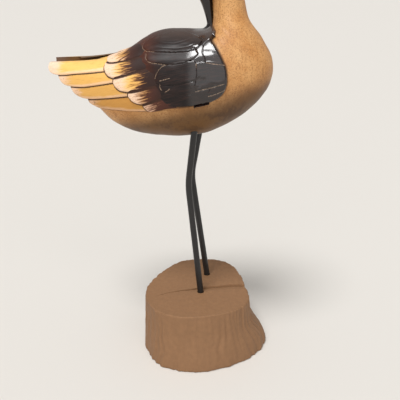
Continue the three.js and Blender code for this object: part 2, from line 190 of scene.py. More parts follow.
def curveThrough(points, t, closed=False):
    # a smooth curve through knots, with t from 0 to 1 along them
    points = np.asarray(points, float)
    count = len(points)
    if closed:
        place = (np.asarray(t) % 1.0) * count
        index = np.floor(place).astype(int)
        a, b, c, d = (points[(index + k) % count] for k in (-1, 0, 1, 2))
    else:
        padded = np.vstack([2 * points[0] - points[1], points, 2 * points[-1] - points[-2]])
        place = np.clip(t, 0, 1) * (count - 1)
        index = np.minimum(place.astype(int), count - 2)
        a, b, c, d = (padded[index + k] for k in range(4))
    w = (place - index)[..., None]
    inward, outward = (c - a) / 2, (d - b) / 2
    bend = 3 * (c - b) - 2 * inward - outward
    return b + w * (inward + w * (bend + w * (2 * (b - c) + inward + outward)))


def heightAlong(edge, x):
    # a smooth edge z(x) through its points, which never swings past them
    edge = np.asarray(edge, float)
    xs, zs = edge[:, 0], edge[:, 1]
    gap = np.diff(xs)
    slope = np.diff(zs) / gap
    tangent = np.zeros(len(xs))
    tangent[0], tangent[-1] = slope[0], slope[-1]
    same = slope[1:] * slope[:-1] > 0
    first, second = 2 * gap[1:] + gap[:-1], gap[1:] + 2 * gap[:-1]
    divisor = np.where(same, first / np.where(same, slope[:-1], 1) + second / np.where(same, slope[1:], 1), 1)
    tangent[1:-1] = np.where(same, (first + second) / divisor, 0)
    index = np.clip(np.searchsorted(xs, x) - 1, 0, len(gap) - 1)
    w = np.clip((x - xs[index]) / gap[index], 0, 1)
    h = gap[index]
    return (
        zs[index] * (1 + 2 * w) * (1 - w) ** 2 + h * tangent[index] * w * (1 - w) ** 2
        + zs[index + 1] * w * w * (3 - 2 * w) + h * tangent[index + 1] * w * w * (w - 1)
    )


def evenly(points, spacing):
    # the same open path cut into even lengths
    lengths = np.r_[0, np.cumsum(np.linalg.norm(np.diff(points, axis=0), axis=1))]
    count = max(int(lengths[-1] / spacing), 2)
    at = np.linspace(0, lengths[-1], count + 1)
    return np.stack([np.interp(at, lengths, points[:, k]) for k in range(points.shape[1])], -1)


def toPath(points, path):
    # from each point to the nearest place on a path: the way there and its length
    shape = points.shape
    flat = points.reshape(-1, shape[-1])
    best = np.full(len(flat), 1e9)
    way = np.zeros_like(flat)
    for start, end in zip(path[:-1], path[1:]):
        along = end - start
        share = np.clip((flat - start) @ along / max(along @ along, 1e-9), 0, 1)
        gap = start + share[:, None] * along - flat
        length = np.einsum("ij,ij->i", gap, gap)
        closer = length < best
        best[closer] = length[closer]
        way[closer] = gap[closer]
    return way.reshape(shape), np.sqrt(best).reshape(shape[:-1])


def insideOf(points, polygon):
    # signed distance to a closed outline in a plane, positive inside it
    ring = np.vstack([polygon, polygon[:1]])
    distance = toPath(points, ring)[1]
    x, y = points[..., 0], points[..., 1]
    crossings = np.zeros(points.shape[:-1], bool)
    for (x0, y0), (x1, y1) in zip(ring[:-1], ring[1:]):
        if y0 != y1:
            crossings ^= ((y0 > y) != (y1 > y)) & (x < (x1 - x0) * (y - y0) / (y1 - y0) + x0)
    return np.where(crossings, distance, -distance)


def ease(value, low, high):
    share = np.clip((value - low) / (high - low), 0, 1)
    return share * share * (3 - 2 * share)


def roundOver(distance, radius):
    # how far a rounded rim has dropped, as a share, at a distance from its edge
    share = np.clip(distance / radius, 0, 1)
    return 1 - np.sqrt(1 - (1 - share) ** 2)


def softNoise(u, v, seed):
    # smooth random heights between -1 and 1 that repeat every 64 cells
    table = np.random.default_rng(seed).uniform(-1, 1, (64, 64))
    cellU, cellV = np.floor(u).astype(int), np.floor(v).astype(int)
    shareU, shareV = u - cellU, v - cellV
    shareU, shareV = shareU ** 2 * (3 - 2 * shareU), shareV ** 2 * (3 - 2 * shareV)
    low = table[cellU % 64, cellV % 64] * (1 - shareU) + table[(cellU + 1) % 64, cellV % 64] * shareU
    high = (table[cellU % 64, (cellV + 1) % 64] * (1 - shareU)
            + table[(cellU + 1) % 64, (cellV + 1) % 64] * shareU)
    return low * (1 - shareV) + high * shareV


def gridNormals(grid):
    # unit normals of a grid of points
    normals = np.cross(np.gradient(grid, axis=0), np.gradient(grid, axis=1))
    return normals / np.maximum(np.linalg.norm(normals, axis=-1, keepdims=True), 1e-12)


markNames = ("zone", "spot", "edge", "line")


def makeMesh(name, points, faces, marks=None):
    # a closed mesh facing outwards, with marks kept on its face corners
    mesh = bpy.data.meshes.new(name)
    mesh.from_pydata((np.asarray(points) * mm).tolist(), [], faces)
    corners = np.fromiter((index for face in faces for index in face), int)
    for markName, values in (marks or {}).items():
        layer = mesh.attributes.new(markName, "FLOAT_VECTOR", "CORNER")
        layer.data.foreach_set("vector", np.ascontiguousarray(values[corners], np.float32).ravel())
    form = bmesh.new()
    form.from_mesh(mesh)
    bmesh.ops.recalc_face_normals(form, faces=form.faces)
    form.to_mesh(mesh)
    form.free()
    made = bpy.data.objects.new(name, mesh)
    bpy.context.collection.objects.link(made)
    return made


def quads(a, b, c, d):
    return np.stack([a, b, c, d], -1).reshape(-1, 4).tolist()


def gridMarks(shape, **values):
    # every mark as one vector for each point, from numbers or grids
    marks = {}
    for name in markNames:
        parts = [np.broadcast_to(part, shape) for part in values.get(name, (0, 0, 0))]
        marks[name] = np.stack(parts, -1).reshape(-1, 3)
    return marks


def tube(name, rings, marks=None):
    # rings of points joined in order, closed at both ends
    count, sides = rings.shape[:2]
    index = np.arange(count * sides).reshape(count, sides)
    around = np.roll(index, -1, axis=1)
    faces = quads(index[:-1], around[:-1], around[1:], index[1:])
    faces += [index[0, ::-1].tolist(), index[-1].tolist()]
    return makeMesh(name, rings.reshape(-1, 3), faces, marks)


def slab(name, outer, inner, marks):
    # a bent board between two grids of points
    rows, columns = outer.shape[:2]
    top = np.arange(rows * columns).reshape(rows, columns)
    under = top + rows * columns
    faces = quads(top[:-1, :-1], top[:-1, 1:], top[1:, 1:], top[1:, :-1])
    faces += quads(under[:-1, :-1], under[1:, :-1], under[1:, 1:], under[:-1, 1:])
    rim = np.r_[top[0, :-1], top[:-1, -1], top[-1, :0:-1], top[:0:-1, 0]]
    after = np.roll(rim, -1)
    step = rows * columns
    faces += quads(after, rim, rim + step, after + step)
    points = np.concatenate([outer.reshape(-1, 3), inner.reshape(-1, 3)])
    doubled = {name: np.concatenate([values, values]) for name, values in marks.items()}
    return makeMesh(name, points, faces, doubled)


def combine(base, others, operation):
    # joins or cuts solids, and keeps the marks of each
    for other in others:
        change = base.modifiers.new(other.name, "BOOLEAN")
        change.operation = operation
        change.solver = "MANIFOLD"
        change.object = other
    graph = bpy.context.evaluated_depsgraph_get()
    mesh = bpy.data.meshes.new_from_object(base.evaluated_get(graph))
    base.modifiers.clear()
    base.data = mesh
    for other in others:
        bpy.data.objects.remove(other)


def finishMesh(piece, material, creaseAngle):
    mesh = piece.data
    mesh.materials.clear()
    mesh.materials.append(material)
    mesh.polygons.foreach_set("use_smooth", np.ones(len(mesh.polygons), bool))
    mesh.set_sharp_from_angle(angle=radians(creaseAngle))


# Bird: the body's sections

birdShape = {
    "midY": 6.0,
    # back x and z, belly x and z, half width, and how square the section is above and below
    "tail": [
        (-94, 211.0, -93.4, 208.2, 9.2, 2.8, 2.4), (-88, 218.6, -87, 203.5, 11, 2.8, 2.3),
        (-82, 223.2, -80.5, 196.8, 15, 2.8, 2.2), (-74, 224.8, -72.5, 188.8, 20.5, 2.8, 2.2),
    ],
    "wing": [
        (-114, 226.6, -114, 203, 10, 2.9, 2.6), (-101, 225.9, -101, 198, 13.4, 2.9, 2.5),
        (-88, 225.2, -88, 191, 19, 2.9, 2.4), (-75, 226.2, -75, 186, 23.5, 2.7, 2.3),
    ],
    "trunk": [
        (-62, 228.2, -62, 179.6, 27.2, 2.5, 2.2), (-50, 233.0, -50, 173.8, 29.8, 2.35, 2.1),
        (-38, 239.6, -38, 171.0, 31.4, 2.2, 2.05), (-26, 244.4, -26, 170.2, 32.4, 2.15, 2),
        (-13, 245.3, -12, 170.4, 32.8, 2.15, 2), (-2, 245.3, 5, 173.2, 32.6, 2.15, 2),
        (4, 245.8, 21, 180.7, 31.6, 2.1, 2), (7.2, 247.4, 34, 189.5, 29.6, 2.05, 2),
        (8.7, 250.0, 44.5, 200.4, 26.6, 2, 2), (9.2, 253.0, 50.6, 212.0, 23.4, 2, 2),
        (9.2, 256.2, 51.0, 226.0, 19.6, 2, 2), (9.0, 259.4, 43.6, 240.4, 16.0, 2, 2),
        (8.8, 263.0, 34.4, 252.6, 13.2, 2, 2), (8.6, 267.0, 30.9, 263.8, 11.9, 2, 2),
    ],
    "head": [
        (8.3, 269.6, 29.9, 272.5, 11.9, 2, 2), (7.6, 271.5, 26.8, 281.0, 12.4, 2, 2),
        (6.7, 272.4, 21.4, 288.2, 13.2, 2, 2), (5.8, 272.7, 13.6, 292.8, 13.8, 2, 2),
        (4.9, 272.5, 4.6, 293.6, 13.6, 2, 2), (4.2, 271.9, -3.6, 290.4, 12.4, 2, 2),
        (3.8, 271.1, -8.6, 284.4, 10.4, 2, 2), (3.7, 270.2, -8.6, 277.6, 8.2, 2, 2),
        (3.8, 269.3, -5.2, 271.4, 6.0, 2, 2),
    ],
    "ringsPerStation": 9,
    "sides": 108,
    "carvingUnevenness": 0.14,
}
midY = birdShape["midY"]
coreTable = np.array(birdShape["tail"] + birdShape["trunk"] + birdShape["head"], float)
wingTable = np.array(birdShape["wing"] + birdShape["trunk"], float)


def sectionPoint(table, t, angle, side):
    # angle 0 is the back, a half turn is the belly
    row = curveThrough(table, t)
    upper = np.cos(angle) > 0
    power = 2 / np.where(upper, row[..., 5], row[..., 6])
    along = np.abs(np.cos(angle)) ** power * np.where(upper, -1, 1)
    share = ((1 + along) / 2)[..., None]
    inPlane = row[..., 0:2] + (row[..., 2:4] - row[..., 0:2]) * share
    y = midY + side * row[..., 4] * np.maximum(np.sin(angle), 0) ** power
    return np.stack([inPlane[..., 0], y, inPlane[..., 1]], -1)


def locate(table, x, z):
    # the station and the share of its chord that hold a point seen from the side
    near, far = np.zeros(np.shape(x)), np.ones(np.shape(x))
    for _ in range(34):
        t = (near + far) / 2
        row = curveThrough(table, t)
        dx, dz = row[..., 2] - row[..., 0], row[..., 3] - row[..., 1]
        ahead = dx * (z - row[..., 1]) - dz * (x - row[..., 0]) > 0
        near, far = np.where(ahead, t, near), np.where(ahead, far, t)
    chord = ((x - row[..., 0]) * dx + (z - row[..., 1]) * dz) / (dx * dx + dz * dz)
    return t, chord, row


def halfWidthAt(table, x, z):
    row, chord = locate(table, x, z)[2], locate(table, x, z)[1]
    u = np.clip(2 * chord - 1, -1, 1)
    power = np.where(u < 0, row[..., 5], row[..., 6])
    return row[..., 4] * (1 - np.abs(u) ** power) ** (1 / power)


def onSkin(table, x, z, lift, side):
    # a point on the skin seen from the side, raised along the skin's normal
    reach = 0.4
    half = halfWidthAt(table, x, z)
    slopeX = (halfWidthAt(table, x + reach, z) - halfWidthAt(table, x - reach, z)) / (2 * reach)
    slopeZ = (halfWidthAt(table, x, z + reach) - halfWidthAt(table, x, z - reach)) / (2 * reach)
    length = np.sqrt(1 + slopeX ** 2 + slopeZ ** 2)
    return np.stack([
        x - slopeX / length * lift, midY + side * (half + lift / length), z - slopeZ / length * lift,
    ], -1)


def chordAngle(row, chord):
    u = 2 * chord - 1
    power = np.where(u < 0, row[..., 5], row[..., 6])
    cosine = np.abs(u) ** (power / 2) * np.where(u < 0, 1, -1)
    return np.arccos(np.clip(cosine, -1, 1))


def backWay(points):
    # a flat map of the wings: x, and the way down from the ridge of the back
    return np.stack([points[..., 0], np.abs(points[..., 1] - midY) + 246.9 - points[..., 2]], -1)


# Bird: the mantle and coverts, one layer over the back

mantle = {
    "lift": 1.6,
    "fade": 0.2,
    "fadeLength": 0.25,
    "depth": 3.0,
    "rimRadius": 1.5,
    "rearLow": (-26, 197.6),
    "rearTop": (-54, 231.4),
    "front": [
        (2, 199.2), (12, 201.8), (19.1, 206.6), (22.2, 213.8), (21.6, 223.0), (18.8, 229.4),
        (15.4, 235.0), (13.0, 238.4), (10.8, 241.0), (12.2, 243.8), (12.2, 246.4), (9.4, 249.4),
    ],
    "rows": 140,
    "columns": 132,
    # carved feathers in side view, from the lowest to the one on top of all
    "feathers": [
        {"rise": 0.25, "edge": [
            (-22.5, 214), (-22.7, 210.6), (-21.3, 208.4), (-18.7, 206.9), (-12.5, 206), (-4, 206),
            (4, 206.8), (6, 212), (-4, 216), (-16, 216)]},
        {"rise": 0.3, "edge": [
            (10.6, 208.5), (9.9, 206.4), (10.6, 204.9), (15.3, 206.4), (19.4, 207.9), (22, 210),
            (21.5, 214), (12, 212)]},
        {"rise": 0.45, "edge": [
            (-18, 225.1), (-21.4, 223.9), (-23.6, 221.7), (-25.3, 218.8), (-26.1, 215.9), (-25.6, 213.4),
            (-23, 212.1), (-16.8, 211.7), (-8.2, 213), (2, 216), (8, 222), (0, 228), (-10, 227)]},
        {"rise": 0.4, "edge": [
            (1.9, 227), (1.7, 223.9), (2.2, 220), (1.6, 215.8), (0.9, 211.6), (1.7, 208.4), (7.7, 210),
            (13.2, 211.3), (22.4, 213.9), (22.4, 222), (19, 227), (10, 228)]},
        {"rise": 0.5, "edge": [
            (-33.5, 232), (-33.3, 229.2), (-31.9, 227), (-29.2, 226), (-23.8, 225.8), (-18.5, 225.3),
            (-12.8, 225.5), (-7.6, 226.3), (-1.4, 228.5), (2.5, 231.6), (0, 236), (-20, 238)]},
        {"rise": 0.5, "edge": [
            (12, 243), (8, 240.1), (5.8, 237.8), (5.2, 235.6), (5.5, 232.9), (7.2, 229.6), (7.4, 227),
            (12.8, 226.3), (21.4, 225.4), (20, 231), (15.5, 237), (13, 242)]},
        {"rise": 0.75, "edge": [
            (-36.6, 234.2), (-37.3, 235.6), (-36.2, 237.5), (-32, 239.9), (-26.7, 242), (-20.5, 243.7),
            (-14.1, 244.4), (-7.1, 244), (0.1, 242.4), (4.4, 240.2), (2.5, 236.5), (-1, 234.4),
            (-4.9, 233.2), (-13.5, 232.7), (-25.8, 232.6), (-32.5, 232.8)]},
    ],
    # pale lines along the feathers' carved edges: partly worn paint, partly painted highlight
    "lines": [
        [(-36.9, 236.9), (-37.6, 235.4), (-36.4, 233.9), (-33, 232.7), (-27.5, 232.5)],
        [(-33.2, 231), (-33.3, 228.6), (-31.5, 226.6), (-28.6, 225.8), (-25, 225.7)],
        [(-23.8, 225.6), (-19.5, 225.1)],
        [(-18.4, 225.1), (-21.4, 223.9), (-23.6, 221.7), (-25.2, 219.0), (-26.0, 216.2)],
        [(-22.5, 214.8), (-18.6, 215.9), (-16.0, 216.6)],
        [(-22.7, 212.6), (-22.6, 210.4), (-21.4, 208.6)],
        [(-19.1, 207.1), (-17.4, 208.3), (-16.0, 209.5)],
        [(1.7, 208.3), (7.7, 209.8), (13.2, 211.1), (20.4, 213.3)],
        [(10.2, 204.7), (15.3, 206.3), (21.4, 208.9)],
        [(8.4, 226.9), (12.8, 226.2), (20.6, 225.4)],
        [(1.7, 226.2), (1.7, 223.9)],
        [(-45.7, 229.9), (-43.8, 230.8), (-42.5, 229.6), (-44.7, 228.1)],
    ],
    "ovals": [
        [(-27, 239.7), (-25.2, 241.7), (-20.3, 243.1), (-13.8, 243.6), (-6.9, 243.1), (-2.1, 241.8),
         (-5.9, 239.8), (-14.2, 237.8), (-22.2, 237.8), (-26, 238.7), (-27, 239.7)],
        [(-31, 237.2), (-29, 235.6), (-22, 235), (-12, 235), (-5, 236), (0, 238)],
    ],
}


def flatten(outline, spacing=0.8):
    # a side-view outline on the near skin, drawn on the flat map of the wings
    outline = evenly(np.array(outline, float), spacing)
    half = halfWidthAt(wingTable, outline[:, 0], outline[:, 1])
    skin = np.stack([outline[:, 0], midY - half - mantle["lift"] * 0.8, outline[:, 1] + 0.4], -1)
    return backWay(skin)


def mantleRelief(flat):
    # height of the carved feathers over the layer, in millimetres
    relief = np.zeros(flat.shape[:-1])
    shade = np.full(flat.shape[:-1], 9.0)
    for feather in mantle["feathers"]:
        outline = flatten(feather["edge"] + feather["edge"][:1])
        inside = insideOf(flat, outline[:-1])
        slope = feather["rise"] * (1 - 0.55 * ease(inside, 0.5, 9))
        profile = slope * ease(inside, -0.1, 0.35)
        groove = 0.16 * np.exp(-((inside + 0.3) / 0.3) ** 2)
        relief = np.where(inside > -0.1, relief * 0.45 * (1 - ease(inside, 0, 4)) + profile, relief - groove)
        shade = np.where(inside > 0, 9.0, np.minimum(shade, -inside))
    for oval in mantle["ovals"]:
        distance = toPath(flat, flatten(oval))[1]
        relief -= 0.14 * np.exp(-(distance / 0.7) ** 2)
    return relief, shade


def mantleLayer():
    share = np.linspace(0, 1, mantle["rows"])
    front = curveThrough(mantle["front"], share)
    rear = np.outer(1 - share, mantle["rearLow"]) + np.outer(share, mantle["rearTop"])
    startT, startChord, _ = locate(wingTable, rear[:, 0], rear[:, 1])
    endT, endChord, _ = locate(wingTable, front[:, 0], front[:, 1])
    u = np.linspace(0, 1, mantle["columns"])
    t = startT[:, None] + (endT - startT)[:, None] * u
    chord = np.maximum(startChord[:, None] + (endChord - startChord)[:, None] * u, 0)
    chord[-1] = 0
    angle = chordAngle(curveThrough(wingTable, t), chord)
    right = sectionPoint(wingTable, t, angle, -1)
    left = sectionPoint(wingTable, t, angle, 1)
    skin = np.concatenate([right, left[-2::-1]])
    normals = gridNormals(skin)
    if normals[len(share) - 1, 40, 2] < 0:
        normals = -normals
    rim = np.concatenate([skin[0], skin[:, -1], skin[-1, ::-1]])
    fromRim = toPath(skin, evenly(rim, 1.0))[1]
    fade = mantle["fade"] + (1 - mantle["fade"]) * ease(u, 0, mantle["fadeLength"])
    flat = backWay(skin + normals * mantle["lift"])
    relief, shade = mantleRelief(flat)
    waves = 0.16 * softNoise(flat[..., 0] / 7, flat[..., 1] / 4, 3)
    lift = mantle["lift"] * fade * (1 - roundOver(fromRim, mantle["rimRadius"]))
    lift = lift + (relief + waves) * ease(fromRim, 0.3, 2.0) * ease(u, 0, 0.1)
    way = np.zeros(flat.shape)
    nearest = np.full(flat.shape[:-1], 1e9)
    for line in mantle["lines"]:
        lineWay, distance = toPath(flat, flatten(line, 0.4))
        closer = distance < nearest
        way[closer] = lineWay[closer]
        nearest = np.minimum(nearest, distance)
    marks = gridMarks(
        skin.shape[:2], zone=(1, 0, 0), spot=(flat[..., 0], flat[..., 1], u[None, :]),
        edge=(fromRim, shade, 0), line=(way[..., 0], way[..., 1], nearest),
    )
    outer = skin + normals * lift[..., None]
    return slab("mantle", outer, skin - normals * mantle["depth"], marks)


# Bird: the long primaries and the scallops over them, in side view from tip to root

feathers = {
    "slotHalf": 6.8,
    "spacing": 0.42,
    "primaryColumns": 24,
    "scallopColumns": 26,
    "primaryLift": (0.2, 1.4),
    "primaryRound": 0.9,
    "scallopLift": (2.5, 0.9),
    "scallopRound": 1.2,
    "scallopDepth": 3.0,
    "leftTipShift": (-0.9, 1.3),
    # how deep the tone is, partly the feathers' own ochre and partly painted shade on the lower ones, how long the
    # pale tip is and how strongly the tip is speckled
    "primaryLook": [(0.0, 7, 0.15), (0.3, 6, 0.8), (0.5, 5, 0.8), (0.8, 5, 1.0)],
    "scallopLook": (0.1, 7, 0.5),
    "scallopRoots": (12, 15, 17, 9, 4),  # where the dark root starts, counted from the tip
    "primaries": [
        {"upper": [(-108.6, 222.8), (-98.9, 223.3), (-83, 224.2), (-71.6, 225.5), (-63.5, 226.8),
                   (-54, 229.6)],
         "lower": [(-108.6, 219.2), (-108.2, 217.6), (-106.8, 215.8), (-103.5, 214.6),
                   (-100.5, 214.4), (-85.9, 216.2), (-70, 218.1), (-54, 220.4)]},
        {"upper": [(-100.7, 215.5), (-85.9, 217.4), (-70, 219.3), (-46, 222.8)],
         "lower": [(-100.7, 214.2), (-99.6, 211.4), (-97.3, 208.9), (-93.5, 207.6), (-89.8, 207.3),
                   (-82.3, 207.6), (-70, 209.6), (-46, 214.4)]},
        {"upper": [(-90.4, 208.4), (-82.3, 208.8), (-70, 210.8), (-58.4, 213.5), (-38, 217)],
         "lower": [(-90.4, 207.0), (-89.3, 205.0), (-87.2, 202.5), (-83.3, 200.6), (-77.5, 199.7),
                   (-62.8, 201.3), (-38, 205.2)]},
        {"upper": [(-77, 200.8), (-62.8, 202.5), (-44.6, 205.3), (-28, 207.8)],
         "lower": [(-77, 199.2), (-75.7, 196.9), (-71.9, 195.2), (-68.1, 193.9), (-59.9, 193.8),
                   (-46, 193.6), (-28, 194.2)]},
    ],
    "scallops": [
        {"upper": [(-63, 227), (-60, 228.4), (-55, 230.2), (-43.2, 236.2), (-34, 239.4)],
         "lower": [(-63, 225.6), (-62.4, 224), (-60.6, 223.3), (-50, 225.4), (-34, 230.2)]},
        {"upper": [(-63.5, 221.6), (-62.8, 223.2), (-61, 224.6), (-50, 226.8), (-32, 232)],
         "lower": [(-63.5, 220), (-61.5, 217.2), (-59.2, 215.7), (-55.4, 214.9), (-50, 216.1),
                   (-45.1, 217.7), (-32, 222)]},
        {"upper": [(-55.8, 213.6), (-55, 215.4), (-53, 216.8), (-45.1, 219.1), (-24, 225.2)],
         "lower": [(-55.8, 211.8), (-53.9, 209.2), (-50.3, 207.2), (-45.2, 206.7), (-40, 207.4),
                   (-35.1, 208.6), (-24, 211.8)]},
        {"upper": [(-45.1, 205.6), (-44.5, 207.2), (-43, 208.4), (-35.1, 210), (-15, 215.6)],
         "lower": [(-45.1, 204), (-42.6, 201), (-39.1, 199.4), (-35.6, 198.9), (-30, 200.3),
                   (-26.2, 201.8), (-15, 205)]},
        {"upper": [(-34.6, 198.6), (-33.4, 200.4), (-31, 201.6), (-12, 207)],
         "lower": [(-34.6, 197.4), (-33, 195.6), (-31.1, 194.1), (-28, 194.2), (-19.7, 195.9),
                   (-12, 196.9)]},
    ],
}


def featherRows(outline):
    # x places along a feather, close together at its rounded tip
    edge = np.array(outline["lower"], float)
    x = np.unique(np.r_[edge[0, 0] + np.linspace(0, 1, 60) ** 2 * 4, np.linspace(edge[0, 0], edge[-1, 0], 400)])
    path = np.stack([x, heightAlong(edge, x)], -1)
    return evenly(path, feathers["spacing"])[:, 0]


def outlineOf(outline):
    # the closed side-view outline of a feather
    x = featherRows(outline)
    lower = np.stack([x, heightAlong(outline["lower"], x)], -1)
    upper = np.stack([x, heightAlong(outline["upper"], x)], -1)
    return evenly(np.vstack([upper[::-1], lower]), 0.7)


def featherGrid(outline, columns, shift):
    x = featherRows(outline)
    across = 1 - (1 - np.linspace(0, 1, columns)) ** 1.25
    upper, lower = heightAlong(outline["upper"], x), heightAlong(outline["lower"], x)
    z = upper[:, None] + (lower - upper)[:, None] * across
    x = np.broadcast_to(x[:, None], z.shape)
    return x + shift[0], z + shift[1], np.broadcast_to(across, z.shape)


def freeEdge(outline, withUpper):
    # the part of a feather's outline that stands free: its tip and its lower edge
    x = featherRows(outline)
    lower = np.stack([x, heightAlong(outline["lower"], x)], -1)
    upper = np.stack([x, heightAlong(outline["upper"], x)], -1)
    return np.vstack([upper[::-1] if withUpper else upper[:1], lower])


def shadeFrom(place, covering):
    # how far a place lies outside the feathers that cover this one
    if not covering:
        return np.full(place.shape[:-1], 9.0)
    return np.min([np.maximum(-insideOf(place, outline), 0) for outline in covering], axis=0)


def primaryFeather(index, side, covering):
    outline = feathers["primaries"][index]
    shift = feathers["leftTipShift"] if side > 0 and index == 0 else (0, 0)
    x, z, across = featherGrid(outline, feathers["primaryColumns"], shift)
    place = np.stack([x - shift[0], z - shift[1]], -1)
    fromEdge = toPath(place, freeEdge(outline, False))[1]
    low, high = feathers["primaryLift"]
    lift = low + (high - low) * across + 0.22 * np.sin(pi * across)
    lift -= 0.85 * roundOver(fromEdge, feathers["primaryRound"])
    fromTip = x - x[0, 0]
    if index == 0:
        topEdge = place[..., 1] - heightAlong(outline["upper"], place[..., 0])
        lift -= 0.4 * roundOver(-topEdge, 0.6)
        lift -= 0.16 * np.exp(-((across - 0.62) / 0.035) ** 2) * (1 - ease(fromTip, 14, 24))
    seed = 20 + index
    lift += 0.10 * softNoise(fromTip / 6, across * 3, seed)
    lift += 0.05 * softNoise(fromTip / 2.2, across * 7 + fromTip / 9, seed + 5)
    outer = onSkin(wingTable, x, z, lift, side)
    chisel = 0.25 * softNoise(x / 5, z / 2.5, seed + 9)
    inner = np.stack([x, midY + side * (feathers["slotHalf"] + chisel), z], -1)
    shade = shadeFrom(place, covering)
    look = feathers["primaryLook"][index]
    marks = gridMarks(
        x.shape, zone=(0, 1, 0), spot=(fromTip, z[:, :1] - z, index + 0.5 * (side > 0)),
        edge=(fromEdge, shade, 99), line=look,
    )
    return slab(f"primary{index}{side}", outer, inner, marks)


def scallopFeather(index, side, covering):
    outline = feathers["scallops"][index]
    x, z, across = featherGrid(outline, feathers["scallopColumns"], (0, 0))
    place = np.stack([x, z], -1)
    fromEdge = toPath(place, freeEdge(outline, index == 0))[1]
    fromTip = x - x[0, 0]
    tip, root = feathers["scallopLift"]
    along = fromTip / fromTip.max()
    lift = tip + (root - tip) * along + 0.5 * across - 0.4 * (2 * across - 1) ** 2
    lift -= 1.3 * roundOver(fromEdge, feathers["scallopRound"])
    lift += 0.12 * softNoise(fromTip / 5, across * 3, 40 + index)
    outer = onSkin(wingTable, x, z, lift, side)
    inner = onSkin(wingTable, x, z, -feathers["scallopDepth"], side)
    shade = shadeFrom(place, covering)
    rootStart = feathers["scallopRoots"][index]
    marks = gridMarks(
        x.shape, zone=(0, 1, 0), spot=(fromTip, z[:, :1] - z, 10 + index + 0.5 * (side > 0)),
        edge=(fromEdge, shade, rootStart), line=feathers["scallopLook"],
    )
    return slab(f"scallop{index}{side}", outer, inner, marks)


# Bird: body core, bill and eyes

billShape = {
    # height, middle x, half length along the bird, half width
    "stations": [
        (278, 0.6, 6.0, 4.6), (271, 2.2, 5.8, 4.7), (265.6, 4.5, 4.8, 4.2), (260.4, 5.8, 3.9, 3.8),
        (254, 7.1, 3.2, 3.4), (249.6, 7.7, 3.1, 3.3), (247.4, 7.0, 4.2, 4.0), (245.4, 6.0, 6.4, 5.6),
        (241, 6.0, 5.4, 5.0),
    ],
    "rings": 110,
    "sides": 44,
}
eyeShape = {"radius": 2.4, "sunk": 0.55, "station": 3.4, "angle": 1.75, "sides": 32}


def bodyCore(wingRim):
    count = (len(coreTable) - 1) * birdShape["ringsPerStation"] + 1
    t = np.linspace(0, 1, count)[:, None]
    turn = np.arange(birdShape["sides"]) / birdShape["sides"] * 2 * pi
    side = np.where(turn < pi, 1, -1)
    angle = np.where(turn < pi, turn, 2 * pi - turn)[None, :]
    rings = sectionPoint(coreTable, np.broadcast_to(t, (count, len(turn))), angle + 0 * t, side)
    normals = np.cross(np.gradient(rings, axis=0), np.roll(rings, -1, 1) - np.roll(rings, 1, 1))
    normals /= np.maximum(np.linalg.norm(normals, axis=-1, keepdims=True), 1e-9)
    waves = softNoise(t * 60, turn / (2 * pi) * 64 / 4, 11) * birdShape["carvingUnevenness"]
    rings = rings + normals * (waves * ease(t, 0.02, 0.1))[..., None]
    shade = toPath(rings, wingRim)[1]
    marks = gridMarks(rings.shape[:2], zone=(0, 0, 0), edge=(9, shade, 0), line=(9, 9, 9))
    return tube("body", rings, marks)


def billTaper():
    share = np.linspace(0, 1, billShape["rings"])
    z, x, deep, wide = curveThrough(billShape["stations"], share).T[:, :, None]
    turn = np.arange(billShape["sides"]) / billShape["sides"] * 2 * pi
    rings = np.stack([x + deep * np.cos(turn), midY + wide * np.sin(turn), z + 0 * turn], -1)
    rings += 0.08 * softNoise(turn / (2 * pi) * 64 / 8, z / 6, 15)[..., None] * np.array([1, 1, 0])
    return tube("bill", rings, gridMarks(rings.shape[:2], zone=(0, 0, 1), edge=(9, 9, 0), line=(9, 9, 9)))


def eyeDome(side):
    t = (len(coreTable) - 1 - eyeShape["station"]) / (len(coreTable) - 1)
    at = sectionPoint(coreTable, np.array(t), np.array(eyeShape["angle"]), side)
    radius = eyeShape["radius"]
    at[1] -= side * radius * eyeShape["sunk"]
    lift = np.linspace(-0.98, 0.98, 24)[:, None] * pi / 2
    turn = np.arange(eyeShape["sides"]) / eyeShape["sides"] * 2 * pi
    ball = np.stack([np.cos(lift) * np.cos(turn), np.sin(lift) + 0 * turn, np.cos(lift) * np.sin(turn)], -1)
    return tube(f"eye{side}", at + radius * ball, gridMarks(ball.shape[:2], zone=(0, 0, 1), edge=(9, 9, 1),
                                                            line=(9, 9, 9)))


# Legs

rods = {
    "radius": 2.4,
    "clearance": 0.3,
    "spread": 15.0,
    "kneeSpread": 12.5,
    "kneeZ": 135.0,
    "bendLength": 16.0,
    "bellyZ": 175.0,
    "bellyHoleTop": 185.0,
    "logHoleBottom": 34.0,
    "right": {"side": -1, "foot": 2.4, "knee": -7.3, "belly": -2.4},
    "left": {"side": 1, "foot": 3.6, "knee": -8.6, "belly": -1.6},
    "sides": 40,
}
logHeight = 46.5


def rodPath(name, end):
    # the rod's middle line from the hole in the log up to the hole in the belly
    leg = rods[name]
    knee = np.array([leg["knee"], midY + leg["side"] * rods["kneeSpread"], rods["kneeZ"]])
    entry = np.array([leg["belly"], midY + leg["side"] * rods["spread"], rods["bellyZ"]])
    foot = np.array([leg["foot"], midY + leg["side"] * rods["spread"], logHeight])
    top = knee + (entry - knee) * (rods["bellyHoleTop"] + end - knee[2]) / (entry[2] - knee[2])
    bottom = knee + (foot - knee) * (rods["logHoleBottom"] - end - knee[2]) / (foot[2] - knee[2])
    upward, downward = top - knee, bottom - knee
    upward = knee + upward / np.linalg.norm(upward) * rods["bendLength"] / 2
    downward = knee + downward / np.linalg.norm(downward) * rods["bendLength"] / 2
    return top, upward, knee, downward, bottom


